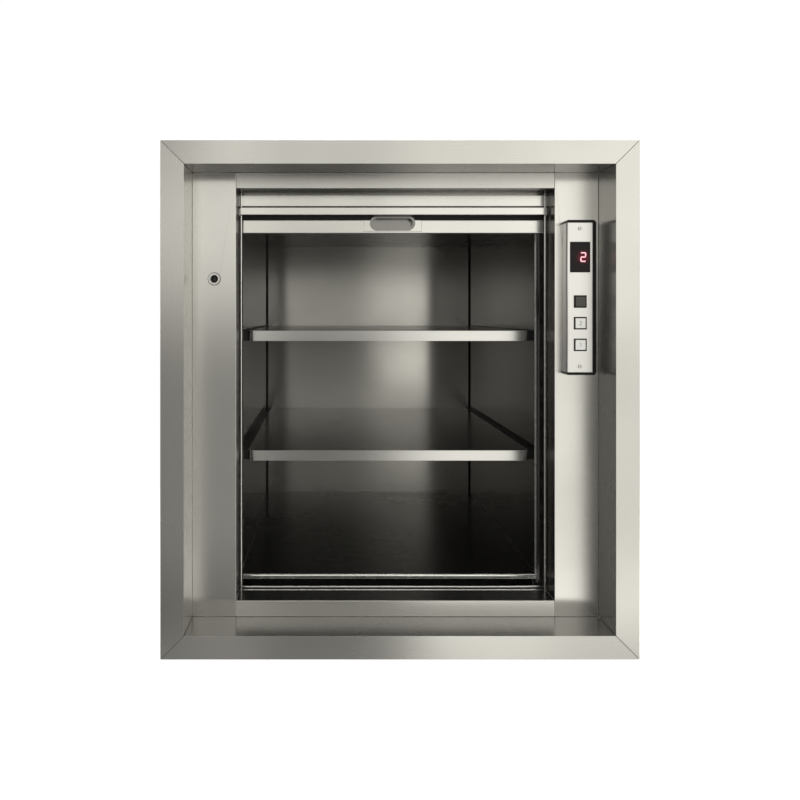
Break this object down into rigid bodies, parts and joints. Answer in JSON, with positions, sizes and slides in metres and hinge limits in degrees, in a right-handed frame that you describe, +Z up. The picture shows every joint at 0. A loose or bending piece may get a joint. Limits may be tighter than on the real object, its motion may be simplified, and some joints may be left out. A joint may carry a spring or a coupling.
{
  "type": "dumbwaiter lift",
  "caption": "Stainless dumbwaiter landing with a shelved car, a vertical two-leaf door, a control box, guide rails, a counterweight and a rope machine in a free-standing frame.",
  "frame": {"origin": "bottom centre of the whole lift's box, on the floor it stands on", "axes": "+X to the right as seen from the landing, +Y from the landing into the shaft, +Z up"},
  "size_m": [0.849, 0.93, 2.7931],
  "materials": {
    "casing_steel": "brushed stainless steel",
    "jamb_steel": "brushed stainless steel",
    "door_steel": "brushed stainless steel",
    "car_steel": "fine brushed stainless steel",
    "shelf_steel": "fine brushed stainless steel",
    "panel_steel": "satin stainless steel",
    "fitting_steel": "turned and pressed stainless steel",
    "galvanised": "galvanised",
    "rail_steel": "bright drawn, oiled",
    "rope_wire": "stranded wire, dull",
    "frame_paint": "satin powder coat",
    "machine_paint": "satin enamel",
    "lock_paint": "matt powder coat",
    "support_paint": "satin powder coat",
    "weight_iron": "cast, blackened",
    "sheave_iron": "turned",
    "nylon": "moulded nylon",
    "black_plastic": "fine textured",
    "display_plastic": "tinted, glossy",
    "digit_red": "lit from behind",
    "dark_button": "satin",
    "white_button": "satin",
    "buffer_rubber": "moulded"
  },
  "bodies": {
    "tower": {"base_frame": "frame_paint", "corner_posts": "frame_paint", "cross_rails": "frame_paint", "machine_bed": "frame_paint", "car_guide_rails": "rail_steel", "counterweight_rails": "rail_steel", "rail_brackets": "galvanised", "pit_buffers": "buffer_rubber", "casing_left": "casing_steel", "casing_right": "casing_steel", "casing_top": "casing_steel", "casing_bottom": "casing_steel", "jamb_left": "jamb_steel", "jamb_right": "jamb_steel", "header": "jamb_steel", "sill": "jamb_steel", "head_rails": "jamb_steel", "door_guide_left": "galvanised", "door_guide_right": "galvanised", "pulley_brackets": "galvanised", "rope_wraps": "rope_wire", "release_ring": "fitting_steel", "door_lock": "lock_paint", "control_cover": "panel_steel", "control_edging": "black_plastic", "display_window": "display_plastic", "display_digit": "digit_red", "button_bezels": "black_plastic", "panel_screws": "fitting_steel", "gearbox": "machine_paint", "motor": "machine_paint"},
    "upper_door": {"upper_door_leaf": "door_steel", "pull_plate": "door_steel", "flush_pull": "fitting_steel", "upper_door_shoes": "nylon", "upper_door_ropes": "rope_wire"},
    "lower_door": {"lower_door_leaf": "door_steel", "lower_door_shoes": "nylon", "lower_door_ropes": "rope_wire"},
    "door_pulley_left": {"door_pulley_left": "nylon"},
    "door_pulley_right": {"door_pulley_right": "nylon"},
    "car": {"car_floor": "car_steel", "car_ceiling": "car_steel", "car_side_left": "car_steel", "car_side_right": "car_steel", "car_back": "car_steel", "upper_shelf": "shelf_steel", "lower_shelf": "shelf_steel", "shelf_supports": "support_paint", "car_sling": "galvanised", "car_guide_shoes": "nylon", "car_ropes": "rope_wire"},
    "counterweight": {"counterweight_frame": "frame_paint", "counterweight_plates": "weight_iron", "counterweight_ropes": "rope_wire"},
    "sheave": {"sheave": "sheave_iron"},
    "release_spindle": {"release_spindle": "fitting_steel"},
    "call_button": {"call_button": "dark_button"},
    "floor_two_button": {"floor_two_button": "white_button"},
    "floor_one_button": {"floor_one_button": "white_button"}
  },
  "joints": [
    {"name": "car_travel", "type": "slide", "parent": "tower", "child": "car", "axis": [0, 0, 1], "range_m": [-0.95, 0], "deforming": ["car_ropes"]},
    {"name": "counterweight_travel", "type": "slide", "parent": "tower", "child": "counterweight", "axis": [0, 0, 1], "range_m": [0, 0.95], "deforming": ["counterweight_ropes"]},
    {"name": "sheave_spin", "type": "hinge", "parent": "tower", "child": "sheave", "pos_m": [0, 0.20775, 2.6074], "axis": [1, 0, 0], "range_deg": [0, 303.3]},
    {"name": "upper_door_slide", "type": "slide", "parent": "tower", "child": "upper_door", "axis": [0, 0, 1], "range_m": [-0.35, 0], "deforming": ["upper_door_ropes"]},
    {"name": "lower_door_slide", "type": "slide", "parent": "tower", "child": "lower_door", "axis": [0, 0, 1], "range_m": [0, 0.35], "deforming": ["lower_door_ropes"]},
    {"name": "right_pulley_spin", "type": "hinge", "parent": "tower", "child": "door_pulley_right", "pos_m": [0.33, -0.313, 2.362], "axis": [0, 1, 0], "range_deg": [-669, 0]},
    {"name": "left_pulley_spin", "type": "hinge", "parent": "tower", "child": "door_pulley_left", "pos_m": [-0.33, -0.313, 2.362], "axis": [0, 1, 0], "range_deg": [0, 669]},
    {"name": "release_turn", "type": "hinge", "parent": "tower", "child": "release_spindle", "pos_m": [-0.341, -0.37, 1.756], "axis": [0, 1, 0], "range_deg": [0, 90], "stiffness_Nm_per_rad": 0.1, "springref_deg": -5.73},
    {"name": "call_button_press", "type": "slide", "parent": "tower", "child": "call_button", "axis": [0, 1, 0], "range_m": [0, 0.0018], "stiffness_N_per_m": 400, "springref_m": -0.0005},
    {"name": "floor_two_button_press", "type": "slide", "parent": "tower", "child": "floor_two_button", "axis": [0, 1, 0], "range_m": [0, 0.0018], "stiffness_N_per_m": 400, "springref_m": -0.0005},
    {"name": "floor_one_button_press", "type": "slide", "parent": "tower", "child": "floor_one_button", "axis": [0, 1, 0], "range_m": [0, 0.0018], "stiffness_N_per_m": 400, "springref_m": -0.0005}
  ],
  "couplings": [
    {"joint": "counterweight_travel", "follows": "car_travel", "ratio": -1},
    {"joint": "sheave_spin", "follows": "car_travel", "rad_per_m": -5.5633},
    {"joint": "lower_door_slide", "follows": "upper_door_slide", "ratio": -1},
    {"joint": "right_pulley_spin", "follows": "upper_door_slide", "rad_per_m": 33.333},
    {"joint": "left_pulley_spin", "follows": "upper_door_slide", "rad_per_m": -33.333}
  ]
}
